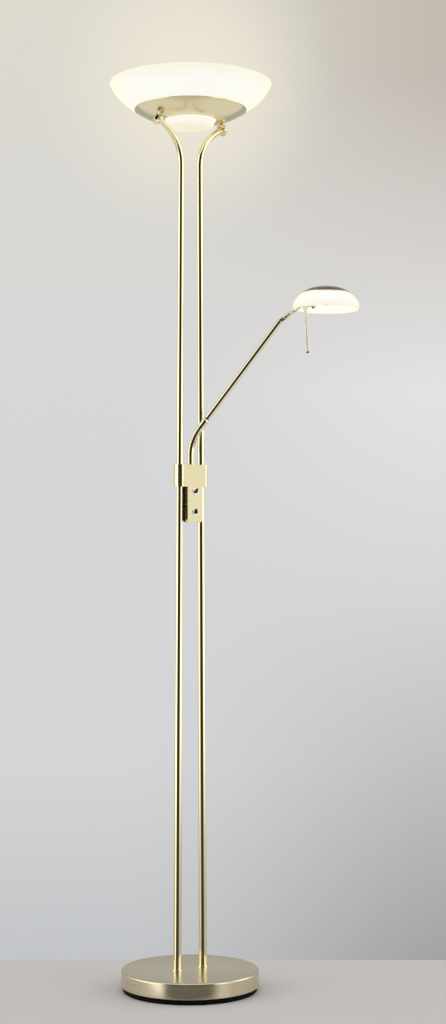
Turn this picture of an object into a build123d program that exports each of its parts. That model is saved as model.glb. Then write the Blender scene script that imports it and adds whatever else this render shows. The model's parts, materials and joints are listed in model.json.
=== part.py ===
from build123d import *
import math
import os

# ---------------------------------------------------------------- driving dimensions, millimetres
# frame: origin at the centre of the underside, +Z up, the two poles stand on the X axis, the clamp faces -Y

# foot
BASE_R = 136.3
BASE_TOP = 42.3
BASE_WALL = 1.7
BASE_EDGE_R = 4.5
SKIRT_BOTTOM = 10.6
LIP_T = 1.5
LIP_R_IN = 125.0
FOOT_R = 132.3
FOOT_FLOOR = 3.0
WEIGHT_R = 128.0
WEIGHT_TOP = 30.0
GLAND_Z = 22.0

# poles: each leans towards the axis and tapers upwards
POLE_A0 = 31.8          # distance from the lamp axis at z = 0
POLE_LEAN = 5.2 / 1000  # inward shift per mm of height
POLE_D0 = 16.0
POLE_TAPER = 2.6 / 1000
POLE_WALL = 1.2
POLE_Z0 = 6.0
POLE_SPLIT = 1016.0
FLARE_Z = 1638.0
FLARE_R = 87.0
FLARE_TURN = 55.0
FLARE_TAIL = 17.0
FLANGE_D = 25.0
FLANGE_T = 7.0
FLANGE_TILT = 24.0

# upper head
DISH_R = 111.0
DISH_T = 1.2
GLASS_R = 162.0
GLASS_TOP = 1801.0
GLASS_T = 4.0
LENS_R = 51.0

# clamp block and switch box
BLOCK_Z0, BLOCK_Z1 = 993.6, 1037.6
BLOCK_HALF = 38.6
BLOCK_FRONT = -14.0
BLOCK_BACK = 10.5
BLOCK_R = 11.0
BOX_W = 36.0
BOX_Z0 = 923.5
BOX_BACK = 4.0
BOX_SPLIT = -5.0
BOX_X = 1.6
KNOB_Z = (984.3, 943.6)
KNOB_X = 2.4

# reading arm, worked out in its own upright plane and then turned to its rest azimuth
ARM_AZ = -38.0
SWIVEL_Y = -1.0
ARM_D = 12.2
ARM2_D = 11.4
BEND_Z = 1056.5
BEND_R = 88.0
ARM_ANGLE = 53.3
ELBOW = (28.5, 1124.0)
ARM_LEN = 248.8
CLEVIS_R = 6.8
CLEVIS_BACK = 17.0
TUBE2_START = 7.7
PIVOT = (189.0, 1332.2)

# reading head
HEAD_X = 270.2
HEAD_Z = 1348.9
HEAD_ROLL = 0.8

os.makedirs("parts", exist_ok=True)
PARTS = {}


def put(name, shape):
    PARTS[name] = shape


def rev(pts):
    """A closed profile of (radius, z) points turned about Z."""
    return revolve(make_face(Polyline(*[(r, 0, z) for r, z in pts], close=True)), Axis.Z)


def rev_edges(edges):
    return revolve(make_face(Wire(edges)), Axis.Z)


def cyl(r, z0, z1, x=0.0, y=0.0):
    return Pos(x, y, z0) * Cylinder(r, z1 - z0, align=(Align.CENTER, Align.CENTER, Align.MIN))


def box(x0, x1, y0, y1, z0, z1):
    return Pos((x0 + x1) / 2, (y0 + y1) / 2, (z0 + z1) / 2) * Box(x1 - x0, y1 - y0, z1 - z0)


def rod(p, q, r):
    """A round bar of radius r from p to q."""
    p, q = Vector(*p), Vector(*q)
    d = q - p
    return Plane(origin=p, z_dir=d) * Cylinder(r, d.length, align=(Align.CENTER, Align.CENTER, Align.MIN))


def cone(p, q, r0, r1):
    p, q = Vector(*p), Vector(*q)
    d = q - p
    return Plane(origin=p, z_dir=d) * Cone(r0, r1, d.length, align=(Align.CENTER, Align.CENTER, Align.MIN))


def hexagon(af, z0, z1, x=0.0, y=0.0, turn=0.0):
    return Pos(x, y, z0) * Rot(0, 0, turn) * extrude(RegularPolygon(af / math.sqrt(3), 6), z1 - z0)


def pole_x(z):
    return POLE_A0 - POLE_LEAN * z


def pole_r(z):
    return (POLE_D0 - POLE_TAPER * z) / 2


def pole_rod(s, z0, z1, grow=0.0):
    return cone((s * pole_x(z0), 0, z0), (s * pole_x(z1), 0, z1), pole_r(z0) + grow, pole_r(z1) + grow)


# ---------------------------------------------------------------- foot
cover_under = BASE_TOP - BASE_WALL
cover = rev([(0, cover_under), (BASE_R - BASE_WALL - 3.0, cover_under), (BASE_R - BASE_WALL, cover_under - 3.0),
             (BASE_R - BASE_WALL, SKIRT_BOTTOM + LIP_T), (LIP_R_IN, SKIRT_BOTTOM + LIP_T), (LIP_R_IN, SKIRT_BOTTOM),
             (BASE_R, SKIRT_BOTTOM), (BASE_R, BASE_TOP), (0, BASE_TOP)])
top_edges = [e for e in cover.edges().filter_by(GeomType.CIRCLE)
             if abs(e.radius - BASE_R) < 0.01 and abs(e.center().Z - BASE_TOP) < 0.01]
cover = fillet(top_edges, BASE_EDGE_R)
low_edges = [e for e in cover.edges().filter_by(GeomType.CIRCLE)
             if abs(e.radius - BASE_R) < 0.01 and abs(e.center().Z - SKIRT_BOTTOM) < 0.01]
cover = fillet(low_edges, 1.0)
weight = rev([(0, SKIRT_BOTTOM + LIP_T), (WEIGHT_R, SKIRT_BOTTOM + LIP_T), (WEIGHT_R, WEIGHT_TOP - 4),
              (WEIGHT_R - 4, WEIGHT_TOP), (0, WEIGHT_TOP)])
for s in (-1, 1):
    cover -= pole_rod(s, 30, 60)
    weight -= pole_rod(s, 0, 60, 0.4)
gland_hole = rod((0, 110, GLAND_Z), (0, 160, GLAND_Z), 5.5)
cover -= gland_hole
weight -= box(-6, 6, 0, 135, 0, 25)
weight -= box(-pole_x(20), pole_x(20), -6, 6, 0, 22)
foot = rev([(0, 0), (FOOT_R - 1.2, 0), (FOOT_R, 1.2), (FOOT_R, SKIRT_BOTTOM), (126.5, SKIRT_BOTTOM),
            (126.5, FOOT_FLOOR), (0, FOOT_FLOOR)])
put("base_cover", cover)
put("base_weight", weight)
put("foot_disc", foot)

nuts = []
collars = []
for s in (-1, 1):
    n = hexagon(27, 7.1, SKIRT_BOTTOM + LIP_T, s * pole_x(9.5), 0, 30) - pole_rod(s, 0, 60)
    nuts.append(n)
    cx = s * pole_x(BASE_TOP)
    c = cyl(pole_r(BASE_TOP) + 1.5, BASE_TOP, BASE_TOP + 2.4, cx)
    c = fillet(c.edges().filter_by(GeomType.CIRCLE).group_by(Axis.Z)[-1], 0.8)
    collars.append(c - pole_rod(s, 30, 60))
put("pole_nuts", Compound(children=nuts))
put("pole_collars", Compound(children=collars))
gland = rod((0, 130, GLAND_Z), (0, BASE_R + 2.4, GLAND_Z), 7.2) - cyl(BASE_R, 0, 60)
gland = gland + rod((0, 129.5, GLAND_Z), (0, BASE_R + 2.4, GLAND_Z), 5.5) + rod((0, 129.5, GLAND_Z), (0, 132.5, GLAND_Z), 7.0)
gland -= rod((0, 120, GLAND_Z), (0, 150, GLAND_Z), 3.4)
put("cable_gland", gland)

# ---------------------------------------------------------------- poles
turn = math.radians(FLARE_TURN)
lean = math.atan(POLE_LEAN)
flange_c = {}
for s, side in ((-1, "left"), (1, "right")):
    lower = pole_rod(s, POLE_Z0, POLE_SPLIT) - pole_rod(s, POLE_Z0 - 1, POLE_SPLIT + 1, -POLE_WALL)
    put(side + "_lower_pole", lower)
    # straight tapered stretch, then the flare at constant bore
    x0 = pole_x(FLARE_Z)
    r0 = pole_r(FLARE_Z)
    straight = pole_rod(s, POLE_SPLIT, FLARE_Z)
    hollow = pole_rod(s, POLE_SPLIT - 1, FLARE_Z, -POLE_WALL)
    # tangent at the flare's start, leaning inwards by the pole's own lean
    t0 = (-math.sin(lean), math.cos(lean))
    # centre of the bend lies outboard
    c = (x0 + FLARE_R * t0[1], FLARE_Z + FLARE_R * (-t0[0]) * -1)
    a0 = math.atan2(FLARE_Z - c[1], x0 - c[0])

    def on_arc(a):
        return (c[0] + FLARE_R * math.cos(a0 - a), c[1] + FLARE_R * math.sin(a0 - a))
    m, e = on_arc(turn / 2), on_arc(turn)
    d = (-math.sin(a0 - turn) * -1, math.cos(a0 - turn) * -1)
    tail = (e[0] + FLARE_TAIL * d[0], e[1] + FLARE_TAIL * d[1])
    arc = ThreePointArc((s * x0, 0, FLARE_Z), (s * m[0], 0, m[1]), (s * e[0], 0, e[1]))
    line = Line((s * e[0], 0, e[1]), (s * tail[0], 0, tail[1]))
    path = Wire([arc.edge(), line.edge()])
    start = Plane(origin=(s * x0, 0, FLARE_Z), z_dir=(s * t0[0], 0, t0[1]))
    bend = sweep(start * Circle(r0), path=path)
    bend_in = sweep(start * Circle(r0 - POLE_WALL), path=path)
    upper = (straight + bend) - hollow - bend_in
    put(side + "_upper_pole", upper)
    flange_c[s] = tail
    tail_dir = d
    print(side, "flare end", [round(v, 2) for v in e], "tail", [round(v, 2) for v in tail],
          "direction", round(math.degrees(math.atan2(d[1], d[0])), 1))

joiners = [pole_rod(s, 992, 1040, -POLE_WALL) - pole_rod(s, 990, 1042, -POLE_WALL - 1.6) for s in (-1, 1)]
put("pole_joiners", Compound(children=joiners))

# end flanges: thick discs across the flared ends, a dark plug in each outer face, and the studs that hold the dish
ft = math.radians(FLANGE_TILT)
nrm = (math.cos(ft), math.sin(ft))
flanges, washers, studs, stud_nuts = [], [], [], []
tx, tz = flange_c[1]
FC = (tx + 2.2, tz + 0.9)
STUD_X = FC[0] - 0.4
for s in (-1, 1):
    fl = rod((s * FC[0], 0, FC[1]), (s * (FC[0] + FLANGE_T * nrm[0]), 0, FC[1] + FLANGE_T * nrm[1]), FLANGE_D / 2)
    fl = chamfer(fl.edges().filter_by(GeomType.CIRCLE).sort_by(Axis.X)[0 if s < 0 else -1], 0.9)
    # collar that takes the tube's end
    dx, dz = tail_dir
    fl += rod((s * (tx - 5.0 * dx), 0, tz - 5.0 * dz), (s * (tx + 4.0 * dx), 0, tz + 4.0 * dz), pole_r(FLARE_Z) + 1.3)
    fl += cyl(3.4, FC[1] + 7.0, 1740, s * STUD_X)
    fl -= rod((s * (tx - 20 * dx), 0, tz - 20 * dz), (s * tx, 0, tz), pole_r(FLARE_Z) + 0.01)
    flanges.append(fl)
    a, b = FLANGE_T - 1.4, FLANGE_T + 0.8
    w = rod((s * (FC[0] + a * nrm[0]), 0, FC[1] + a * nrm[1]), (s * (FC[0] + b * nrm[0]), 0, FC[1] + b * nrm[1]), 5.0)
    washers.append(w)
put("_flanges", flanges)
put("_washers", washers)

# ---------------------------------------------------------------- upper head


def arc_z(cx, cz, r, x):
    return cz - math.sqrt(r * r - (x - cx) ** 2)


# dish: flat centre ring, then one wide arc out to a rolled rim
DC = (47.66, 1835.5, 107.2)


def dish_z(x):
    return arc_z(*DC, x)


zt = 1729.0
z60 = dish_z(60.0)
zr = dish_z(DISH_R)
zm = dish_z(86.0)
outer = ThreePointArc((60, 0, z60), (86, 0, zm), (DISH_R, 0, zr))
ri = DC[2] - DISH_T


def dish_in(x):
    return DC[1] - math.sqrt(ri * ri - (x - DC[0]) ** 2)


inner = ThreePointArc((60, 0, dish_in(60)), (86, 0, dish_in(86)), (DISH_R - 0.7, 0, dish_in(DISH_R - 0.7)))
dish = rev_edges([Line((52, 0, zt), (60, 0, z60)).edge(), outer.edge(),
                  Line((DISH_R, 0, zr), (DISH_R - 0.7, 0, dish_in(DISH_R - 0.7))).edge(),
                  inner.edge(), Line((60, 0, dish_in(60)), (52, 0, zt + DISH_T)).edge(),
                  Line((52, 0, zt + DISH_T), (52, 0, zt)).edge()])
bead = Pos(0, 0, zr + 0.2) * Torus(DISH_R - 0.1, 1.2)
lip = Pos(0, 0, zt + 0.3) * Torus(52.2, 1.1)
dish = dish + bead + lip
# studs stand straight up from each flange's upper part through dish and carrier
for s in (-1, 1):
    st = cyl(2.0, FC[1] + 6.6, 1744.2, s * STUD_X)
    studs.append(st)
    sn = hexagon(8, 1739.6, 1743.0, s * STUD_X, 0, 30) + cyl(6.0, 1738.2, 1739.6, s * STUD_X)
    stud_nuts.append(sn - st)
    dish -= st
# the flanges end just below the dish
over = rev_edges([Line((0, 0, zt - 0.1), (60, 0, z60 - 0.1)).edge(),
                  ThreePointArc((60, 0, z60 - 0.1), (86, 0, zm - 0.1), (DISH_R, 0, zr - 0.1)).edge(),
                  Line((DISH_R, 0, zr - 0.1), (DISH_R, 0, 1790)).edge(), Line((DISH_R, 0, 1790), (0, 0, 1790)).edge(),
                  Line((0, 0, 1790), (0, 0, zt - 0.1)).edge()])
washers = PARTS.pop("_washers")
flanges = [f - over - st - w for f, st, w in zip(PARTS.pop("_flanges"), studs, washers)]
flanges = [max(f.solids(), key=lambda q: q.volume) for f in flanges]
put("flange_pair", Compound(children=flanges))
put("flange_caps", Compound(children=washers))
put("head_studs", Compound(children=studs))
put("stud_nuts", Compound(children=stud_nuts))
put("head_dish", dish)

# lower lens: a flat flange inside the dish opening and a bowed glass below it
ol = FilletPolyline((0, 0, 1711.0), (43.5, 0, 1713.4), (LENS_R - 0.3, 0, 1728.2), (LENS_R - 0.3, 0, 1730.6), radius=[15, 3])
il = FilletPolyline((0, 0, 1714.0), (42.0, 0, 1716.2), (LENS_R - 3.4, 0, 1729.2), (LENS_R - 3.4, 0, 1733.4), radius=[12, 3])
lens_wire = Wire([*ol.edges(), Line((LENS_R - 0.3, 0, 1730.6), (57.5, 0, 1730.6)).edge(),
                  Line((57.5, 0, 1730.6), (57.5, 0, 1733.4)).edge(), Line((57.5, 0, 1733.4), (LENS_R - 3.4, 0, 1733.4)).edge(),
                  *il.edges(), Line((0, 0, 1714.0), (0, 0, 1711.0)).edge()])
put("lower_lens", revolve(make_face(lens_wire), Axis.Z))
put("lens_seat_ring", rev([(49.0, 1733.4), (58.5, 1733.4), (58.5, 1736.2), (49.0, 1736.2)]))
carrier = rev([(44.0, 1736.2), (84.0, 1736.2), (84.0, 1738.2), (44.0, 1738.2)])
for s in (-1, 1):
    carrier -= cyl(2.1, 1730, 1745, s * STUD_X)
    carrier -= cyl(4.0, 1730, 1745, s * 60.0, 30)

# glass bowl, one arc from the seat to the rim
GC = (75.8, 1838.7, 94.1)
GI = GC[2] - GLASS_T


def glass_z(x, r):
    return GC[1] - math.sqrt(r * r - (x - GC[0]) ** 2)


def glass_x(z, r):
    return GC[0] + math.sqrt(r * r - (z - GC[1]) ** 2)


xo, xi = glass_x(GLASS_TOP, GC[2]), glass_x(GLASS_TOP, GI)
g_out = ThreePointArc((86, 0, glass_z(86, GC[2])), (134, 0, glass_z(134, GC[2])), (xo, 0, GLASS_TOP))
g_in = ThreePointArc((86, 0, glass_z(86, GI)), (130, 0, glass_z(130, GI)), (xi, 0, GLASS_TOP))
rim = ThreePointArc((xo, 0, GLASS_TOP), ((xo + xi) / 2, 0, GLASS_TOP + 1.2), (xi, 0, GLASS_TOP))
glass = rev_edges([g_out.edge(), rim.edge(), g_in.edge(),
                   Line((86, 0, glass_z(86, GI)), (86, 0, glass_z(86, GC[2]))).edge()])
put("glass_bowl", glass)
gz0, gz1 = dish_in(88.5), dish_in(97.5)
gasket = rev_edges([ThreePointArc((88.5, 0, dish_in(88.5)), (93, 0, dish_in(93)), (97.5, 0, dish_in(97.5))).edge(),
                    Line((97.5, 0, dish_in(97.5)), (97.5, 0, glass_z(97.5, GC[2]))).edge(),
                    ThreePointArc((97.5, 0, glass_z(97.5, GC[2])), (93, 0, glass_z(93, GC[2])), (88.5, 0, glass_z(88.5, GC[2]))).edge(),
                    Line((88.5, 0, glass_z(88.5, GC[2])), (88.5, 0, dish_in(88.5))).edge()])
put("glass_gasket", gasket)

# lamp bracket along Y with turned-up ends, ceramic holders and the linear lamp
LAMP_Z = 1763.0
bracket = box(-12, 12, -76, 76, 1738.2, 1739.7)
bracket -= box(-8, 8, -36, 36, 1735, 1745)
for s in (-1, 1):
    bracket += box(-9, 9, min(s * 74.5, s * 76), max(s * 74.5, s * 76), 1738.2, 1772.0)
    bracket -= rod((0, s * 70, LAMP_Z), (0, s * 80, LAMP_Z), 3.0)
holders, hscrews = [], []
for s in (-1, 1):
    h = box(-8, 8, min(s * 58, s * 74.5), max(s * 58, s * 74.5), 1752.0, 1773.0)
    h = fillet(h.edges().filter_by(Axis.Z), 2.5)
    h -= rod((0, s * 56, LAMP_Z), (0, s * 68, LAMP_Z), 5.2)
    h -= rod((0, s * 67, LAMP_Z), (0, s * 80, LAMP_Z), 1.6)
    holders.append(h)
    hs = rod((0, s * 76, LAMP_Z), (0, s * 78.2, LAMP_Z), 3.6) + rod((0, s * 69, LAMP_Z), (0, s * 77, LAMP_Z), 1.5)
    bracket -= rod((0, s * 70, LAMP_Z), (0, s * 80, LAMP_Z), 1.6)
    hscrews.append(hs)
put("lamp_bracket", bracket)
put("carrier_plate", carrier)
put("lamp_holders", Compound(children=holders))
put("holder_screws", Compound(children=hscrews))
lamp = rod((0, -52, LAMP_Z), (0, 52, LAMP_Z), 5.0)
for s in (-1, 1):
    lamp += rod((0, s * 51, LAMP_Z), (0, s * 66.5, LAMP_Z), 3.4)
put("halogen_lamp", lamp)

# ---------------------------------------------------------------- clamp block and switch box
block = box(-BLOCK_HALF, BLOCK_HALF, BLOCK_FRONT, BLOCK_BACK, BLOCK_Z0, BLOCK_Z1)
block = fillet(block.edges().filter_by(Axis.Z), BLOCK_R)
bores = pole_rod(-1, 980, 1050) + pole_rod(1, 980, 1050)
bush_hole = cyl(8.0, 1012.0, BLOCK_Z1 + 1, 0, SWIVEL_Y)
wire_way = cyl(6.5, BLOCK_Z0 - 1, 1013, 0, SWIVEL_Y) + cyl(9.0, 1006.0, 1012.0, 0, SWIVEL_Y)
block = block - bores - bush_hole - wire_way
front = block & box(-60, 60, -40, 0, 900, 1100)
back = block & box(-60, 60, 0.15, 40, 900, 1100)
# fine grooves round the block near its top
for z in (1032.8, 1028.0):
    ring = box(-60, 60, -40, 40, z, z + 0.7)
    core = fillet(box(-BLOCK_HALF + 0.5, BLOCK_HALF - 0.5, BLOCK_FRONT + 0.5, BLOCK_BACK - 0.5, z - 1, z + 2).edges().filter_by(Axis.Z), BLOCK_R - 0.5)
    front -= (ring - core)
    back -= (ring - core)
# the switch box hangs from the front half, open at the back
bx0, bx1 = BOX_X - BOX_W / 2, BOX_X + BOX_W / 2
shell = box(bx0, bx1, BLOCK_FRONT, BOX_SPLIT, BOX_Z0, BLOCK_Z0)
low = [e for e in shell.edges().filter_by(Axis.Y) if e.center().Z < BOX_Z0 + 0.1]
shell = fillet(low, 6.0)
cavity = box(bx0 + 1.8, bx1 - 1.8, BLOCK_FRONT + 1.8, 30, BOX_Z0 + 1.8, BLOCK_Z0 - 1.2)
cavity = fillet([e for e in cavity.edges().filter_by(Axis.Y) if e.center().Z < BOX_Z0 + 3], 4.2)
shell = shell - cavity - cyl(6.5, BLOCK_Z0 - 5, BLOCK_Z0 + 5, 0, SWIVEL_Y)
front = front + shell
# the rear cover is a tray, a little smaller than the front so that the front's edge shows
cover_plate = box(bx0 + 0.5, bx1 - 0.5, BOX_SPLIT, BOX_BACK, BOX_Z0 + 0.5, BLOCK_Z0 - 0.2)
cover_plate = fillet([e for e in cover_plate.edges().filter_by(Axis.Y) if e.center().Z < BOX_Z0 + 1], 5.5)
tray = box(bx0 + 2.1, bx1 - 2.1, BOX_SPLIT - 1, BOX_BACK - 1.6, BOX_Z0 + 2.1, BLOCK_Z0 + 2)
tray = fillet([e for e in tray.edges().filter_by(Axis.Y) if e.center().Z < BOX_Z0 + 3], 4.0)
cover_plate -= tray
knob_holes = []
for z in KNOB_Z:
    front -= rod((KNOB_X, -30, z), (KNOB_X, -5, z), 3.6)
# clamp screws from the back, cover screws
cscrews, holes = [], []
for x, z in ((-13.5, 1016.0), (13.5, 1016.0)):
    sc = rod((x, -9, z), (x, 6, z), 2.0) + rod((x, 6.0, z), (x, BLOCK_BACK - 0.6, z), 3.8)
    sc -= rod((x, BLOCK_BACK - 2.6, z), (x, 30, z), 1.7)
    hole = rod((x, -9, z), (x, 6, z), 2.0) + rod((x, 6.0, z), (x, 40, z), 4.0)
    front -= hole
    back -= hole
    cscrews.append(sc)
put("clamp_screws", Compound(children=cscrews))
covscrews = []
for z, x in ((BOX_Z0 + 6.6, BOX_X), (BLOCK_Z0 - 6.0, BOX_X - 12.2)):
    post = rod((x, BLOCK_FRONT + 1.5, z), (x, BOX_BACK - 1.6, z), 2.4)
    front += post
    h = rod((x, -6, z), (x, BOX_BACK + 3, z), 1.25)
    front -= h
    cover_plate -= h
    cs = rod((x, -5.8, z), (x, BOX_BACK, z), 1.25) + rod((x, BOX_BACK, z), (x, BOX_BACK + 1.6, z), 2.8)
    cs -= box(x - 3, x + 3, BOX_BACK + 0.9, BOX_BACK + 2, z - 0.35, z + 0.35)
    covscrews.append(cs)
put("clamp_body", front)
put("clamp_back", back)
put("box_cover", cover_plate)
put("cover_screws", Compound(children=covscrews))

# rotary dimmers: module inside, bezel on the face, pointer knob outside
modules, bezels = [], []
for i, z in enumerate(KNOB_Z):
    m = box(KNOB_X - 9, KNOB_X + 9, BLOCK_FRONT + 1.9, 1.2, z - 7.3, z + 7.3)
    m = fillet(m.edges().filter_by(Axis.Y), 2.0)
    m += rod((KNOB_X, BLOCK_FRONT, z), (KNOB_X, BLOCK_FRONT + 2.4, z), 3.5)
    m -= rod((KNOB_X, BLOCK_FRONT - 1, z), (KNOB_X, -4, z), 1.84)
    modules.append(m)
    b = rod((KNOB_X, BLOCK_FRONT - 1.3, z), (KNOB_X, BLOCK_FRONT, z), 6.9)
    b = fillet(b.edges().filter_by(GeomType.CIRCLE).group_by(Axis.Y)[0], 0.7)
    b -= rod((KNOB_X, BLOCK_FRONT - 5, z), (KNOB_X, BLOCK_FRONT + 1, z), 3.0)
    bezels.append(b)
    # pointer: a round heel with a tapered nose
    kp = Polyline((KNOB_X - 2.8, 0, z - 0.6), (KNOB_X - 0.6, 0, z + 6.6), (KNOB_X + 0.6, 0, z + 6.6), (KNOB_X + 2.8, 0, z - 0.6))
    heel = ThreePointArc((KNOB_X + 2.8, 0, z - 0.6), (KNOB_X, 0, z - 3.9), (KNOB_X - 2.8, 0, z - 0.6))
    face = make_face(Wire([*kp.edges(), heel.edge()]))
    k = extrude(Pos(0, BLOCK_FRONT - 1.8, 0) * face, 3.4, dir=(0, -1, 0))
    k = fillet(k.edges().group_by(Axis.Y)[0], 0.5)
    k += rod((KNOB_X, BLOCK_FRONT - 2.2, z), (KNOB_X, -4.6, z), 1.8)
    if i == 0:
        k = Pos(KNOB_X, 0, z) * Rot(0, 25, 0) * Pos(-KNOB_X, 0, -z) * k
    put("upper_knob" if i == 0 else "lower_knob", k)
put("dimmer_modules", Compound(children=modules))
put("dimmer_bezels", Compound(children=bezels))

# ---------------------------------------------------------------- reading arm
ARM = Location((0, SWIVEL_Y, 0), (0, 0, ARM_AZ))
th = math.radians(ARM_ANGLE)
u = (math.cos(th), math.sin(th))
w = (-math.sin(th), math.cos(th))


def pt(base, along, across=0.0, y=0.0):
    return (base[0] + along * u[0] + across * w[0], y, base[1] + along * u[1] + across * w[1])


bush = cyl(8.0, 1012.0, BLOCK_Z1, 0, SWIVEL_Y) + cyl(9.9, BLOCK_Z1, BLOCK_Z1 + 1.6, 0, SWIVEL_Y)
bush = fillet(bush.edges().filter_by(GeomType.CIRCLE).group_by(Axis.Z)[-1], 0.6)
bush -= cyl(ARM_D / 2 + 0.05, 1000, 1060, 0, SWIVEL_Y)
put("swivel_bush", bush)

ta = math.radians(90 - ARM_ANGLE)
arc_end = (BEND_R * (1 - math.cos(ta)), BEND_Z + BEND_R * math.sin(ta))
arc_mid = (BEND_R * (1 - math.cos(ta / 2)), BEND_Z + BEND_R * math.sin(ta / 2))
reach = ((ELBOW[0] - arc_end[0]) * u[0] + (ELBOW[1] - arc_end[1]) * u[1])
J = (arc_end[0] + reach * u[0], arc_end[1] + reach * u[1])
tube_end = (J[0] - 10.0 * u[0], J[1] - 10.0 * u[1])
path = Wire([Line((0, 0, 1009.6), (0, 0, BEND_Z)).edge(),
             ThreePointArc((0, 0, BEND_Z), (arc_mid[0], 0, arc_mid[1]), (arc_end[0], 0, arc_end[1])).edge(),
             Line((arc_end[0], 0, arc_end[1]), (tube_end[0], 0, tube_end[1])).edge()])
sec = Plane(origin=(0, 0, 1009.6), z_dir=(0, 0, 1))
bent = sweep(sec * Circle(ARM_D / 2), path=path) - sweep(sec * Circle(ARM_D / 2 - 1.1), path=path)
# clevis: a socket over the tube's end, then a slotted round bar with a ball nose
clev = rod(pt(J, -CLEVIS_BACK), pt(J, 0), CLEVIS_R)
clev = clev + Pos(J[0], 0, J[1]) * Sphere(CLEVIS_R)
clev -= rod(pt(J, -CLEVIS_BACK - 5), pt(J, -10.0), ARM_D / 2)
slot = Pos(J[0], 0, J[1]) * Rot(0, -ARM_ANGLE, 0) * Box(30, 4.8, 40, align=(Align.MIN, Align.CENTER, Align.CENTER))
slot = Pos(-8.0 * u[0], 0, -8.0 * u[1]) * slot
clev -= slot
clev -= rod((J[0], -10, J[1]), (J[0], 10, J[1]), 2.0)
ring = rod((0, 0, 1010.4), (0, 0, 1011.6), 8.0) - rod((0, 0, 1009), (0, 0, 1013), ARM_D / 2 - 0.3)
groove = rod((0, 0, 1010.3), (0, 0, 1011.7), 9) - rod((0, 0, 1009), (0, 0, 1013), ARM_D / 2 - 0.35)
bent -= groove
put("lower_arm", ARM * bent)
put("elbow_clevis", ARM * clev)
put("arm_retainer", ARM * ring)
scr = rod((J[0], -5.9, J[1]), (J[0], 5.9, J[1]), 2.0) + rod((J[0], -7.6, J[1]), (J[0], -4.9, J[1]), 2.75)
scr = fillet(scr.edges().filter_by(GeomType.CIRCLE).group_by(Axis.Y)[0], 0.5)
scr -= rod((J[0], -9, J[1]), (J[0], -6.5, J[1]), 1.15)
clev_cut = rod((J[0], -10, J[1]), (J[0], -4.9, J[1]), 2.75)
PARTS["elbow_clevis"] = ARM * (clev - clev_cut)
put("elbow_screw", ARM * scr)

# upper arm: tongue, tube
tongue = Pos(J[0], 0, J[1]) * Rot(0, -ARM_ANGLE, 0) * Box(18, 4.2, 8.4, align=(Align.MIN, Align.CENTER, Align.CENTER))
tongue += rod((J[0], -2.1, J[1]), (J[0], 2.1, J[1]), 4.2)
tongue += rod(pt(J, TUBE2_START), pt(J, 24.0), ARM2_D / 2 - 1.0)
tongue -= rod((J[0], -10, J[1]), (J[0], 10, J[1]), 2.05)
tongue = tongue & (rod(pt(J, -6), pt(J, TUBE2_START), 9) + rod(pt(J, TUBE2_START - 0.1), pt(J, 24), ARM2_D / 2 - 1.0))
put("elbow_tongue", ARM * tongue)
arm2 = rod(pt(J, TUBE2_START), pt(J, ARM_LEN), ARM2_D / 2) - rod(pt(J, TUBE2_START - 1), pt(J, ARM_LEN + 1), ARM2_D / 2 - 1.0)
put("upper_arm", ARM * arm2)

# end swivel: a plug that turns in the arm tube, a collar, and a flat eye offset to the yoke pin
S = (J[0] + ARM_LEN * u[0], J[1] + ARM_LEN * u[1])
eye = rod(pt(S, -12), pt(S, 0.2), ARM2_D / 2 - 1.05) + rod(pt(S, 0.2), pt(S, 2.4), ARM2_D / 2 - 0.1)
P = PIVOT
ex, ez = pt(S, 2.0)[0], pt(S, 2.0)[2]
dv = Vector(P[0] - ex, 0, P[1] - ez)
blade = Plane(origin=(ex, 0, ez), x_dir=dv, z_dir=(0, 1, 0)) * Box(dv.length, 7.0, 3.4, align=(Align.MIN, Align.CENTER, Align.CENTER))
eye += blade + rod((P[0], -1.7, P[1]), (P[0], 1.7, P[1]), 3.5)
eye -= rod((P[0], -5, P[1]), (P[0], 5, P[1]), 1.75)
put("arm_end_eye", ARM * eye)

# ---------------------------------------------------------------- reading head
# the head leans by its roll about the centre of its rim
ROLL = Pos(HEAD_X, 0, HEAD_Z) * Rot(0, HEAD_ROLL, 0)


def hp(x, z):
    """A point of the head's own frame, in the arm's plane."""
    a = math.radians(HEAD_ROLL)
    return (HEAD_X + x * math.cos(a) + z * math.sin(a), HEAD_Z - x * math.sin(a) + z * math.cos(a))


# yoke: a slotted round bar at the pin, a stem that rises to the rim and runs in under the glass
hs = hp(-66.0, -4.9)
sv = Vector(hs[0] - P[0], 0, hs[1] - P[1])
sl = sv.length
uu = (sv.X / sl, sv.Z / sl)


def on_y(t, y=0.0):
    return (P[0] + t * uu[0], y, P[1] + t * uu[1])


fork = rod(on_y(0), on_y(12.5), 4.3) + Pos(P[0], 0, P[1]) * Sphere(4.3)
fork += cone(on_y(12.5), on_y(16.5), 4.3, 2.6)
gap = Plane(origin=on_y(-8), x_dir=sv, z_dir=(0, 1, 0)) * Box(13.5, 20, 4.0, align=(Align.MIN, Align.CENTER, Align.CENTER))
yoke = fork - gap
a1 = (P[0] + 14.0 * uu[0], P[1] + 14.0 * uu[1])
b1 = hp(-62.0, -4.7)
b3 = hp(-49.0, 6.8)
b4 = hp(-40.0, 6.8)
stem_path = FilletPolyline((a1[0], 0, a1[1]), (b1[0], 0, b1[1]), (b3[0], 0, b3[1]), (b4[0], 0, b4[1]), radius=[10, 6])
stem = sweep(Plane(origin=(a1[0], 0, a1[1]), z_dir=(stem_path @ 0.02 - stem_path @ 0)) * Circle(2.5), path=Wire(stem_path.edges()))
lug = box(-47, -20, -5, 5, 4.2, 9.4)
lug = fillet(lug.edges().filter_by(Axis.Z), 2.0) - cyl(1.5, 0, 20, -26.0, 0)
yoke = yoke + stem
yoke = yoke + ROLL * lug
yoke -= rod((P[0], -10, P[1]), (P[0], 10, P[1]), 1.7)
yoke -= rod((P[0], -10, P[1]), (P[0], -3.2, P[1]), 2.3)
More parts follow.
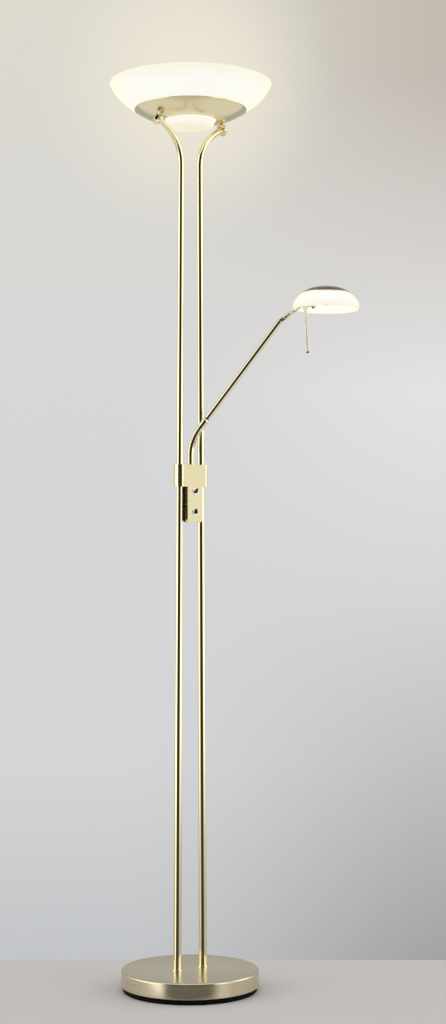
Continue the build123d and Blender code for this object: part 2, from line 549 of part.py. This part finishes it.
put("head_yoke", ARM * yoke)
ys = rod((P[0], -3.9, P[1]), (P[0], 3.9, P[1]), 1.7) + rod((P[0], -4.8, P[1]), (P[0], -3.2, P[1]), 2.3)
ys -= rod((P[0], -6, P[1]), (P[0], -4.2, P[1]), 1.0)
put("yoke_screw", ARM * ys)

# carrier plate in the head, centre post, socket and capsule lamp (all in the head's own frame)


def H(shape):
    return ARM * (ROLL * shape)


plate = box(-38, 6, -7, 23, 9.4, 11.2)
plate = fillet(plate.edges().filter_by(Axis.Z), 4)
post = cyl(3.0, 7.6, 43.4, 0, 0) + cyl(5.0, 7.6, 9.4, 0, 0)
plate -= cyl(3.0, 0, 20, 0, 0)
plate -= cyl(1.6, 0, 20, -26.0, 15)
sock = box(-32, -12, 8.5, 21.5, 11.2, 24.0)
sock = fillet(sock.edges().filter_by(Axis.Z), 2.0)
sock -= rod((-20, 15, 17.6), (0, 15, 17.6), 5.4)
sock -= cyl(1.5, 0, 20, -26.0, 15)
caps = rod((-11.0, 15, 17.6), (27.0, 15, 17.6), 6.3)
caps = fillet(caps.edges().filter_by(GeomType.CIRCLE), 4.0) + rod((-17.5, 15, 17.6), (-8.0, 15, 17.6), 5.2)
sscrew = cyl(1.45, 8.0, 18.0, -26.0, 15) + cyl(2.6, 7.1, 9.4, -26.0, 15)
dot = cyl(2.6, 1.4, 4.2, -26.0, 0)
dot = fillet(dot.edges().filter_by(GeomType.CIRCLE).group_by(Axis.Z)[0], 0.6)
dot += cyl(1.5, 4.0, 12.8, -26.0, 0)
plate -= cyl(1.5, 0, 20, -26.0, 0)

# glass shade: domed, with its rim turned slightly in, and a hole at the crown for the post
# its crown is one arc of radius CROWN_R, its side a spline down to the rim
CROWN_R, CROWN_C = 87.7, -42.3


def crown(r, grow=0.0):
    return (r, 0, CROWN_C + math.sqrt((CROWN_R + grow) ** 2 - r * r))


ocrown = ThreePointArc(crown(50.0), crown(26.0), crown(0.0))
icrown = ThreePointArc(crown(47.6, -3.0), crown(25.0, -3.0), crown(0.0, -3.0))
oside = Spline((64.9, 0, 0.0), (65.8, 0, 6.0), (65.2, 0, 11.0), (61.9, 0, 17.6), (55.8, 0, 24.9), crown(50.0),
               tangents=[(0.3, 0, 1.0), (-crown(50.0)[2] + CROWN_C, 0, 50.0)])
iside = Spline((62.0, 0, 0.0), (62.8, 0, 6.0), (62.1, 0, 10.4), (58.9, 0, 16.2), (53.2, 0, 22.9), crown(47.6, -3.0),
               tangents=[(0.3, 0, 1.0), (-crown(47.6, -3.0)[2] + CROWN_C, 0, 47.6)])
rimarc = ThreePointArc((62.0, 0, 0.0), (63.4, 0, -1.0), (64.9, 0, 0.0))
shade = rev_edges([oside.edge(), ocrown.edge(), Line(crown(0.0), crown(0.0, -3.0)).edge(), icrown.edge(), iside.edge(), rimarc.edge()])
shade -= cyl(5.2, 20, 60)
# brass cap over the crown, its beaded edge resting on the glass
cap = rev_edges([ThreePointArc(crown(49.3, 1.5), crown(25.0, 1.5), crown(0.0, 1.5)).edge(), Line(crown(0.0, 1.5), crown(0.0, 0.3)).edge(),
                 ThreePointArc(crown(0.0, 0.3), crown(24.7, 0.3), crown(48.7, 0.3)).edge(), Line(crown(48.7, 0.3), crown(49.3, 1.5)).edge()])
boss = cyl(5.0, 42.0, 46.2, 0, 0) - cyl(3.0, 30, 43.4, 0, 0)
cap = cap + boss
bead2 = Pos(0, 0, crown(49.1, 0.75)[2]) * Torus(49.1, 0.8)
cap = cap + bead2
shade -= bead2
snut = hexagon(11, 37.4, 41.1, 0, 0, 0) + cyl(8.5, 41.1, 42.0, 0, 0) - cyl(3.0, 20, 60)
shade -= cyl(8.6, 30, 42.0, 0, 0)

# pin handle: rod from the plate through the open rim, grip and dark tip
hroot = hp(-41.9, 4.2)
htip = (233.3, 1261.6)
hv = Vector(htip[0] - hroot[0], 0, htip[1] - hroot[1])
hl = hv.length
hu = (hv.X / hl, hv.Z / hl)


def on_h(t):
    return (hroot[0] + t * hu[0], 0, hroot[1] + t * hu[1])


above = ROLL * box(-60, 0, -20, 20, 4.2, 20)
hrod = rod(on_h(-2.0), on_h(hl - 3.0), 2.9)
grip = rod(on_h(hl - 36), on_h(hl - 2.2), 3.75)
grip = fillet(grip.edges().filter_by(GeomType.CIRCLE), 0.7) - hrod
tip = rod(on_h(hl - 2.2), on_h(hl), 3.0)
tip = fillet(tip.edges().filter_by(GeomType.CIRCLE).group_by(Axis.Z)[0], 0.8) - hrod
hcollar = rod(on_h(-2.0), on_h(5.0), 4.3)
hrod = (hrod + hcollar) - above
grip = grip - hrod
put("handle_rod", ARM * hrod)
put("handle_grip", ARM * grip)
put("handle_tip", ARM * (tip - hrod))
put("head_plate", H(plate))
put("head_post", H(post - cyl(10, 9.4, 11.2) + cyl(3.0, 9.0, 11.6)))
put("lamp_socket", H(sock))
put("capsule_lamp", H(caps))
put("socket_screw", H(sscrew))
put("plate_screw", H(dot))
put("reading_shade", H(shade))
put("shade_cap", H(cap))
put("shade_nut", H(snut))

# ---------------------------------------------------------------- write out
for name, shape in PARTS.items():
    solids = shape.solids()
    if not solids:
        print("EMPTY", name)
        continue
    out = solids[0] if len(solids) == 1 else Compound(children=list(solids))
    out.label = name
    export_step(out, f"parts/{name}.step")
print(len(PARTS), "nodes")
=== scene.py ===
import bpy
import json
import math
from mathutils import Vector, Matrix

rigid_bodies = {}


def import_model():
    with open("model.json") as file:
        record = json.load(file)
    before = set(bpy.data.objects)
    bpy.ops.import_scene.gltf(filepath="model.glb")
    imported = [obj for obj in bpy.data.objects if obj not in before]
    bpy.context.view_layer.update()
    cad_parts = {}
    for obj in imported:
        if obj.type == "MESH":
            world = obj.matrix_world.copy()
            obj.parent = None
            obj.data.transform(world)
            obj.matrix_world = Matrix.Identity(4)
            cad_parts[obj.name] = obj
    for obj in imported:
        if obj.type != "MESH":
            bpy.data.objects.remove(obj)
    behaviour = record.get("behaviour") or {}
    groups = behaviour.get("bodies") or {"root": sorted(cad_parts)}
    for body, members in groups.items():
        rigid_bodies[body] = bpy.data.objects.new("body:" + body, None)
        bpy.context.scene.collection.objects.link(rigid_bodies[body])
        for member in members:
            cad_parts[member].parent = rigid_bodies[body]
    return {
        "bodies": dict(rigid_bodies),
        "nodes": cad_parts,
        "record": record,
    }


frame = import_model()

nodes = frame["nodes"]
slot_of = {s["node"]: s["material_slot"] for s in frame["record"]["subparts"]}
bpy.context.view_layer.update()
scene = bpy.context.scene

# ---------------------------------------------------------------- camera
# fitted to the ellipses of the foot and the glass: eye 0.833 m up, 3.7 m in front of the lamp
VIEW = Vector((math.sin(math.radians(38)), math.cos(math.radians(38)), 0.0))
RIGHT = Vector((math.cos(math.radians(38)), -math.sin(math.radians(38)), 0.0))
UP = Vector((0, 0, 1))
PITCH = 0.03


def at(right, away, up):
    """A point given in the photo's own directions, in metres from the lamp's foot."""
    return RIGHT * right + VIEW * away + UP * up


cam_data = bpy.data.cameras.new("camera")
cam = bpy.data.objects.new("camera", cam_data)
scene.collection.objects.link(cam)
cam.location = at(0.065, -3.695, 0.833)
look = VIEW * math.cos(PITCH) + UP * math.sin(PITCH)
cam.rotation_mode = "QUATERNION"
cam.rotation_quaternion = look.to_track_quat("-Z", "Y")
cam_data.sensor_width = 36.0
cam_data.lens = 1858.0 / 1024.0 * 36.0
cam_data.clip_start = 0.05
cam_data.clip_end = 40.0
scene.camera = cam

# ---------------------------------------------------------------- node helpers


class Mat:
    """A small helper round one material's nodes."""

    def __init__(self, name):
        self.m = bpy.data.materials.new(name)
        self.m.use_nodes = True
        self.t = self.m.node_tree
        self.n = self.t.nodes
        self.l = self.t.links
        self.b = next(n for n in self.n if n.type == "BSDF_PRINCIPLED")
        self.out = next(n for n in self.n if n.type == "OUTPUT_MATERIAL")

    def new(self, kind, **kw):
        n = self.n.new(kind)
        for k, v in kw.items():
            setattr(n, k, v)
        return n

    def link(self, a, b):
        self.l.new(a, b)

    def coords(self, scale=(1, 1, 1), rot=(0, 0, 0), loc=(0, 0, 0)):
        tc = self.new("ShaderNodeTexCoord")
        mp = self.new("ShaderNodeMapping")
        mp.inputs["Scale"].default_value = scale
        mp.inputs["Rotation"].default_value = rot
        mp.inputs["Location"].default_value = loc
        self.link(tc.outputs["Object"], mp.inputs["Vector"])
        return mp.outputs["Vector"]

    def noise(self, vec, scale, detail=3.0, rough=0.5):
        n = self.new("ShaderNodeTexNoise")
        n.inputs["Scale"].default_value = scale
        n.inputs["Detail"].default_value = detail
        n.inputs["Roughness"].default_value = rough
        self.link(vec, n.inputs["Vector"])
        return n.outputs["Fac"]

    def span(self, val, lo, hi, a, b):
        r = self.new("ShaderNodeMapRange")
        r.inputs["From Min"].default_value = lo
        r.inputs["From Max"].default_value = hi
        r.inputs["To Min"].default_value = a
        r.inputs["To Max"].default_value = b
        self.link(val, r.inputs["Value"])
        return r.outputs["Result"]

    def ramp(self, val, stops):
        r = self.new("ShaderNodeValToRGB")
        e = r.color_ramp.elements
        while len(e) > 1:
            e.remove(e[-1])
        e[0].position, e[0].color = stops[0][0], (*stops[0][1], 1)
        for p, c in stops[1:]:
            q = e.new(p)
            q.color = (*c, 1)
        self.link(val, r.inputs["Fac"])
        return r.outputs["Color"]

    def mixc(self, fac, a, b):
        m = self.new("ShaderNodeMix", data_type="RGBA")
        if isinstance(fac, (int, float)):
            m.inputs["Factor"].default_value = fac
        else:
            self.link(fac, m.inputs["Factor"])
        for key, v in (("A", a), ("B", b)):
            sock = [s for s in m.inputs if s.name == key and s.type == "RGBA"][0]
            if isinstance(v, tuple):
                sock.default_value = (*v, 1)
            else:
                self.link(v, sock)
        return [s for s in m.outputs if s.type == "RGBA"][0]

    def math(self, op, a, b=None):
        m = self.new("ShaderNodeMath", operation=op)
        for i, v in enumerate((a, b)):
            if v is None:
                continue
            if isinstance(v, (int, float)):
                m.inputs[i].default_value = v
            else:
                self.link(v, m.inputs[i])
        return m.outputs[0]

    def bump(self, height, strength, distance=0.001):
        b = self.new("ShaderNodeBump")
        b.inputs["Strength"].default_value = strength
        b.inputs["Distance"].default_value = distance
        self.link(height, b.inputs["Height"])
        self.link(b.outputs["Normal"], self.b.inputs["Normal"])
        return b

    def xyz(self, vec):
        s = self.new("ShaderNodeSeparateXYZ")
        self.link(vec, s.inputs[0])
        return s.outputs

    def convex_edge_mask(self, lo=0.5, hi=0.56):
        """Lighter colour on convex edges."""
        g = self.new("ShaderNodeNewGeometry")
        return self.span(g.outputs["Pointiness"], lo, hi, 0.0, 1.0)


MATS = {}

BRASS = (0.90, 0.80, 0.47)
BRASS_LIGHT = (0.98, 0.93, 0.72)


def metal(name, col, rough, var=0.05, stretch=(40, 40, 4), bump=0.02, edge=None, edge_mix=0.5, tone=0.06):
    """Plated or raw metal: brushing along one direction, cloudy finish, lighter colour on convex edges."""
    m = Mat(name)
    n = m.noise(m.coords(stretch), 60.0, 4.0, 0.6)
    blot = m.noise(m.coords((1, 1, 1)), 14.0, 3.0, 0.5)
    dark = tuple(c * (1.0 - tone) for c in col)
    base = m.mixc(m.span(n, 0.3, 0.7, 0.0, 1.0), dark, col)
    base = m.mixc(m.span(blot, 0.35, 0.75, 0.0, 0.35), base, tuple(c * 0.9 for c in col))
    if edge:
        base = m.mixc(m.math("MULTIPLY", m.convex_edge_mask(), edge_mix), base, edge)
    m.link(base, m.b.inputs["Base Color"])
    m.b.inputs["Metallic"].default_value = 1.0
    r = m.math("ADD", m.span(n, 0.3, 0.7, rough - var, rough + var), m.span(blot, 0.3, 0.7, -var * 0.6, var * 0.6))
    m.link(r, m.b.inputs["Roughness"])
    if bump:
        m.bump(n, bump, 0.0004)
    MATS[name] = m.m
    return m


def spun(name, col, rough, aniso, axis_mat=None, tone=0.10, fine=900.0, swirl=0.012, edge=BRASS_LIGHT):
    """Metal turned on a lathe: concentric marks about the lamp's own axis and a highlight that fans out from it."""
    m = Mat(name)
    v = m.coords((1, 1, 1))
    x, y, z = m.xyz(v)
    rad = m.math("SQRT", m.math("ADD", m.math("POWER", x, 2.0), m.math("POWER", y, 2.0)))
    ring = m.new("ShaderNodeCombineXYZ")
    m.link(rad, ring.inputs[0])
    m.link(z, ring.inputs[2])
    marks = m.noise(ring.outputs[0], fine, 4.0, 0.65)
    broad = m.noise(ring.outputs[0], 70.0, 2.0, 0.5)
    blot = m.noise(v, 9.0, 3.0, 0.5)
    base = m.mixc(m.span(marks, 0.3, 0.7, 0.0, 1.0), tuple(c * (1.0 - tone) for c in col), col)
    base = m.mixc(m.span(broad, 0.3, 0.7, 0.0, 0.25), base, tuple(c * 0.86 for c in col))
    base = m.mixc(m.math("MULTIPLY", m.convex_edge_mask(), 0.5), base, edge)
    m.link(base, m.b.inputs["Base Color"])
    m.b.inputs["Metallic"].default_value = 1.0
    r = m.math("ADD", m.span(marks, 0.3, 0.7, rough - 0.03, rough + 0.03), m.span(blot, 0.3, 0.7, -0.02, 0.02))
    m.link(r, m.b.inputs["Roughness"])
    m.b.inputs["Anisotropic"].default_value = aniso
    m.b.inputs["Anisotropic Rotation"].default_value = 0.25
    tan = m.new("ShaderNodeTangent", direction_type="RADIAL", axis="Z")
    m.link(tan.outputs[0], m.b.inputs["Tangent"])
    m.bump(marks, swirl, 0.0003)
    MATS[name] = m.m
    return m


metal("polished_brass", BRASS, 0.06, 0.012, (60, 60, 3), 0.0, BRASS_LIGHT, 0.4, 0.03)
metal("arm_brass", (0.90, 0.81, 0.52), 0.09, 0.02, (60, 60, 8), 0.004, BRASS_LIGHT, 0.4, 0.03)
# painted highlight: the handle's brass is made paler and only partly metallic so that it looks lit by the reading
# lamp
metal("handle_brass", (0.97, 0.93, 0.76), 0.42, 0.05, (80, 80, 8), 0.01, BRASS_LIGHT).b.inputs["Metallic"].default_value = 0.3
metal("joint_brass", (0.80, 0.74, 0.54), 0.34, 0.05, (80, 80, 8), 0.01, BRASS_LIGHT)
metal("satin_brass", (0.84, 0.755, 0.46), 0.20, 0.025, (4, 4, 90), 0.0, (0.95, 0.85, 0.54), 0.25, 0.05)
spun("spun_brass", (0.68, 0.60, 0.42), 0.27, 0.5, edge=(0.9, 0.82, 0.56))
spun("spun_dish", (0.90, 0.81, 0.56), 0.20, 0.6)
cap = metal("cap_brass", (0.98, 0.90, 0.66), 0.22, 0.03, (30, 30, 30), 0.0)
# painted reflection and highlights: up the cap's height its colour runs from a warm painted reflection at the lower
# edge, through a dark painted band that mirrors the dark end of the room, to a light painted highlight at the crown
cap_painted_band_height = cap.span(cap.xyz(cap.coords())[2], 1.3787, 1.3958, 0.0, 1.0)
cap.link(cap.ramp(cap_painted_band_height, [(0.0, (0.99, 0.86, 0.62)), (0.14, (0.90, 0.74, 0.50)), (0.22, (0.21, 0.155, 0.085)), (0.55, (0.21, 0.16, 0.09)),
                          (0.70, (0.98, 0.92, 0.70))]), cap.b.inputs["Base Color"])
metal("zinc_steel", (0.60, 0.60, 0.58), 0.36, 0.08, (30, 30, 30), 0.03, (0.8, 0.8, 0.78))
metal("weight_iron", (0.16, 0.16, 0.17), 0.62, 0.10, (20, 20, 20), 0.25, (0.3, 0.3, 0.3))
metal("black_screw", (0.03, 0.03, 0.03), 0.35, 0.08, (60, 60, 60), 0.03, (0.2, 0.2, 0.2))
metal("bright_ring", (0.99, 0.97, 0.85), 0.30, 0.03, (60, 60, 60), 0.008, BRASS_LIGHT)


def plastic(name, col, rough, grain=260.0, bump=0.12, edge=None, spec=0.5):
    m = Mat(name)
    m.b.inputs["Specular IOR Level"].default_value = spec
    n = m.noise(m.coords((1, 1, 1)), grain, 4.0, 0.6)
    big = m.noise(m.coords((1, 1, 1)), 18.0, 3.0, 0.5)
    base = m.mixc(m.span(big, 0.3, 0.7, 0.0, 1.0), tuple(c * 0.85 for c in col), col)
    if edge:
        base = m.mixc(m.math("MULTIPLY", m.convex_edge_mask(), 0.6), base, edge)
    m.link(base, m.b.inputs["Base Color"])
    m.link(m.span(n, 0.3, 0.7, rough - 0.06, rough + 0.06), m.b.inputs["Roughness"])
    m.bump(n, bump, 0.0004)
    MATS[name] = m.m
    return m


plastic("black_plastic", (0.002, 0.002, 0.002), 0.6, edge=(0.008, 0.008, 0.008), spec=0.05)
plastic("black_knob", (0.012, 0.011, 0.006), 0.35, 400.0, 0.05, (0.05, 0.045, 0.03), spec=0.3)
enamel = plastic("white_enamel", (0.88, 0.87, 0.82), 0.4, 300.0, 0.05, (0.95, 0.94, 0.9))
# painted glow: the enamelled plate gets a faint emission of its own, standing in for the reading lamp's light
# bouncing onto it inside the shade
enamel.b.inputs["Emission Color"].default_value = (1.0, 0.97, 0.88, 1)
enamel.b.inputs["Emission Strength"].default_value = 0.5
plastic("rubber", (0.018, 0.018, 0.018), 0.75)
plastic("ceramic", (0.80, 0.77, 0.70), 0.50, 180.0, 0.10, (0.9, 0.88, 0.82))


def glow_glass(name, body, rough, mid, edge, strength, z0, z1, low, high, facing=0.9):
    """Frosted glass lit from inside. The glow is white where the glass is seen square on, and creamier towards its
    outline, where the light has more glass to cross, and towards one end of its height."""
    m = Mat(name)
    v = m.coords((1, 1, 1))
    fine = m.noise(v, 500.0, 3.0, 0.6)
    cloud = m.noise(v, 11.0, 3.0, 0.5)
    m.link(m.mixc(m.span(cloud, 0.3, 0.7, 0.0, 1.0), tuple(c * 0.95 for c in body), body), m.b.inputs["Base Color"])
    m.link(m.span(fine, 0.3, 0.7, rough - 0.05, rough + 0.05), m.b.inputs["Roughness"])
    m.b.inputs["Specular IOR Level"].default_value = 0.08
    lw = m.new("ShaderNodeLayerWeight")
    lw.inputs["Blend"].default_value = 0.35
    rim = m.span(lw.outputs["Facing"], 0.25, facing, 0.0, 1.0)
    col = m.mixc(rim, mid, edge)
    col = m.mixc(m.span(cloud, 0.35, 0.75, 0.0, 0.12), col, edge)
    height = m.span(m.xyz(v)[2], z0, z1, 0.0, 1.0)
    tint = m.ramp(height, [(0.0, low), (0.35, (1.0, 1.0, 1.0)), (0.65, (1.0, 1.0, 1.0)), (1.0, high)])
    mul = m.new("ShaderNodeMix", data_type="RGBA", blend_type="MULTIPLY")
    mul.inputs["Factor"].default_value = 1.0
    ins = [k for k in mul.inputs if k.type == "RGBA"]
    m.link(col, ins[0])
    m.link(tint, ins[1])
    m.link([k for k in mul.outputs if k.type == "RGBA"][0], m.b.inputs["Emission Color"])
    m.b.inputs["Emission Strength"].default_value = strength
    m.bump(fine, 0.04, 0.0003)
    MATS[name] = m.m
    return m


glow_glass("opal_glass", (0.16, 0.155, 0.14), 0.35, (1.0, 0.995, 0.965), (0.97, 0.935, 0.68), 0.88, 1.731, 1.802,
           (0.98, 0.95, 0.86), (0.985, 0.95, 0.80))
glow_glass("lens_glass", (0.16, 0.15, 0.13), 0.40, (1.0, 0.95, 0.82), (0.92, 0.86, 0.70), 0.92, 1.711, 1.734,
           (0.90, 0.87, 0.80), (1.0, 0.98, 0.90))
glow_glass("shade_glass", (0.16, 0.16, 0.14), 0.35, (1.0, 0.998, 0.97), (0.97, 0.94, 0.68), 0.88, 1.348, 1.394,
           (0.98, 0.93, 0.82), (0.99, 0.95, 0.74))
m = glow_glass("lamp_quartz", (0.4, 0.39, 0.36), 0.12, (1.0, 0.95, 0.82), (1.0, 0.86, 0.62), 5.0, 1.70, 1.80,
               (1.0, 1.0, 1.0), (1.0, 1.0, 1.0))

OWN = {"base_cover": "spun_brass", "head_dish": "spun_dish", "head_yoke": "joint_brass", "arm_end_eye": "joint_brass",
       "dimmer_bezels": "bright_ring"}
for name, ob in nodes.items():
    m = MATS[OWN.get(name, slot_of[name])]
    ob.data.materials.clear()
    ob.data.materials.append(m)

# ---------------------------------------------------------------- studio


def mesh_object(name, verts, faces, mat=None, smooth=False):
    me = bpy.data.meshes.new(name)
    me.from_pydata([tuple(v) for v in verts], [], faces)
    me.update()
    if smooth:
        for p in me.polygons:
            p.use_smooth = True
    ob = bpy.data.objects.new(name, me)
    scene.collection.objects.link(ob)
    if mat:
        me.materials.append(mat)
    return ob


def quad(name, centre, du, dv, mat):
    c, du, dv = Vector(centre), Vector(du), Vector(dv)
    ob = mesh_object(name, [c - du - dv, c + du - dv, c + du + dv, c - du + dv], [(0, 1, 2, 3)], mat)
    return ob


floor_mat = Mat("stage_floor")
floor_mat.b.inputs["Roughness"].default_value = 0.9
floor_mat.b.inputs["Specular IOR Level"].default_value = 0.1
fn = floor_mat.noise(floor_mat.coords((1, 1, 1)), 3.0, 2.0, 0.5)
floor_mat.link(floor_mat.mixc(fn, (0.675, 0.65, 0.635), (0.71, 0.685, 0.67)), floor_mat.b.inputs["Base Color"])

# the floor meets the pale room 0.28 m behind the lamp; its front part stays out of the tubes' mirror images
FLOOR_BACK, FLOOR_NEAR = 0.28, -0.18
quad("backdrop_floor", at(0, (FLOOR_BACK + FLOOR_NEAR) / 2, 0.0), RIGHT * 2.4, VIEW * ((FLOOR_BACK - FLOOR_NEAR) / 2), floor_mat.m)
far = quad("backdrop_floor_front", at(0, FLOOR_NEAR - 1.75, 0.0), RIGHT * 2.4, VIEW * 1.75, floor_mat.m)
far.visible_glossy = False


def area(name, pos, target, size, power, col=(1, 1, 1), size_y=None, spread=None):
    d = bpy.data.lights.new(name, "AREA")
    d.energy = power
    d.color = col
    d.size = size
    if size_y:
        d.shape = "RECTANGLE"
        d.size_y = size_y
    if spread:
        d.spread = math.radians(spread)
    o = bpy.data.objects.new(name, d)
    scene.collection.objects.link(o)
    o.location = pos
    o.rotation_mode = "QUATERNION"
    o.rotation_quaternion = (Vector(target) - Vector(pos)).to_track_quat("-Z", "Y")
    return o


# the room that the polished tubes mirror: long soft panels at both sides, bright above, and a dark end in front
world = bpy.data.worlds.new("studio_world")
scene.world = world
world.use_nodes = True


class Room(Mat):
    """The same helper on the world's node tree."""

    def __init__(self, w):
        self.m = w
        self.t = w.node_tree
        self.n = self.t.nodes
        self.l = self.t.links

    def dot(self, vec, direction):
        d = self.new("ShaderNodeVectorMath", operation="DOT_PRODUCT")
        self.link(vec, d.inputs[0])
        d.inputs[1].default_value = direction
        return d.outputs["Value"]

    def smooth(self, val, lo, hi, a=0.0, b=1.0):
        r = self.new("ShaderNodeMapRange", interpolation_type="SMOOTHSTEP")
        r.inputs["From Min"].default_value = lo
        r.inputs["From Max"].default_value = hi
        r.inputs["To Min"].default_value = a
        r.inputs["To Max"].default_value = b
        self.link(val, r.inputs["Value"])
        return r.outputs["Result"]


room = Room(world)
bg = next(n for n in room.n if n.type == "BACKGROUND")
tc = room.new("ShaderNodeTexCoord")
d_right = room.dot(tc.outputs["Generated"], tuple(RIGHT))
d_away = room.dot(tc.outputs["Generated"], tuple(VIEW))
d_up = room.dot(tc.outputs["Generated"], (0, 0, 1))
azimuth = room.math("ARCTAN2", d_right, room.math("MULTIPLY", d_away, -1.0))


def turn_at(deg):
    return (deg + 180.0) / 360.0


# radiance by direction: the first list for level and rising rays, the second for rays that fall towards the floor
PANELS = [(-180, 0.26), (-128, 0.28), (-108, 0.58), (-90, 0.95), (-49, 1.0), (-42, 0.014), (42, 0.014), (49, 1.0),
          (64, 1.0), (72, 0.44), (80, 0.44), (86, 1.0), (112, 1.0), (128, 0.30), (180, 0.26)]
LOW = [(-180, 0.22), (-110, 0.26), (-76, 0.48), (-58, 0.9), (-48, 0.9), (-38, 0.025), (34, 0.025), (46, 0.24),
       (70, 0.30), (112, 0.28), (180, 0.20)]
turned = room.span(azimuth, -math.pi, math.pi, 0.0, 1.0)
ring = room.ramp(turned, [(turn_at(a), (v, v, v * 1.01)) for a, v in PANELS])
ring_low = room.ramp(turned, [(turn_at(a), (v, v * 0.99, v * 0.97)) for a, v in LOW])
level = room.mixc(room.smooth(d_up, -0.19, -0.05), ring_low, ring)
level = room.mixc(room.smooth(d_up, -0.42, -0.26), (0.42, 0.41, 0.38), level)
high = room.smooth(d_up, math.sin(math.radians(36)), math.sin(math.radians(44)))
front = room.smooth(d_away, -0.5, 0.2, 1.0, 0.0)
ceiling = room.mixc(front, (0.26, 0.26, 0.26), (0.62, 0.62, 0.62))
lit = room.mixc(high, level, ceiling)

# what the eye sees past the lamp: a plain pale wall, a little darker low down at the right, and a painted pool of
# warm light round the bowl
left_tone = room.ramp(room.span(d_up, -0.24, 0.30, 0.0, 1.0),
                      [(0.0, (0.50, 0.515, 0.53)), (0.25, (0.655, 0.665, 0.68)), (0.6, (0.675, 0.675, 0.685)), (1.0, (0.72, 0.695, 0.62))])
right_tone = room.ramp(room.span(d_up, -0.24, 0.30, 0.0, 1.0),
                       [(0.0, (0.29, 0.29, 0.295)), (0.42, (0.67, 0.67, 0.67)), (0.62, (0.78, 0.775, 0.77)), (0.92, (0.53, 0.48, 0.43))])
wall_tone = room.mixc(room.smooth(d_right, -0.06, 0.15), left_tone, right_tone)
# painted light: a warm pool of the bowl's glow painted onto the wall round the bowl
gx = room.math("POWER", room.math("SUBTRACT", d_right, -0.017), 2.0)
gz = room.math("POWER", room.math("SUBTRACT", d_up, 0.253), 2.0)
glow = room.smooth(room.math("SQRT", room.math("ADD", gx, gz)), 0.01, 0.085, 1.0, 0.0)
wall_tone = room.mixc(glow, wall_tone, (0.84, 0.79, 0.66))
path = room.new("ShaderNodeLightPath")
room.link(room.mixc(path.outputs["Is Camera Ray"], lit, wall_tone), bg.inputs["Color"])
room.link(room.span(path.outputs["Is Camera Ray"], 0.0, 1.0, 1.85, 1.0), bg.inputs["Strength"])

# ---------------------------------------------------------------- the light inside the bowl


def point(name, pos, power, radius, col, body):
    d = bpy.data.lights.new(name, "POINT")
    d.energy = power
    d.shadow_soft_size = radius
    d.color = col
    o = bpy.data.objects.new(name, d)
    scene.collection.objects.link(o)
    o.location = pos
    o.parent = frame["bodies"][body]
    return o


point("uplight", (0, 0, 1.79), 0.8, 0.04, (1.0, 0.90, 0.72), "stand")

scene.view_settings.view_transform = "Standard"
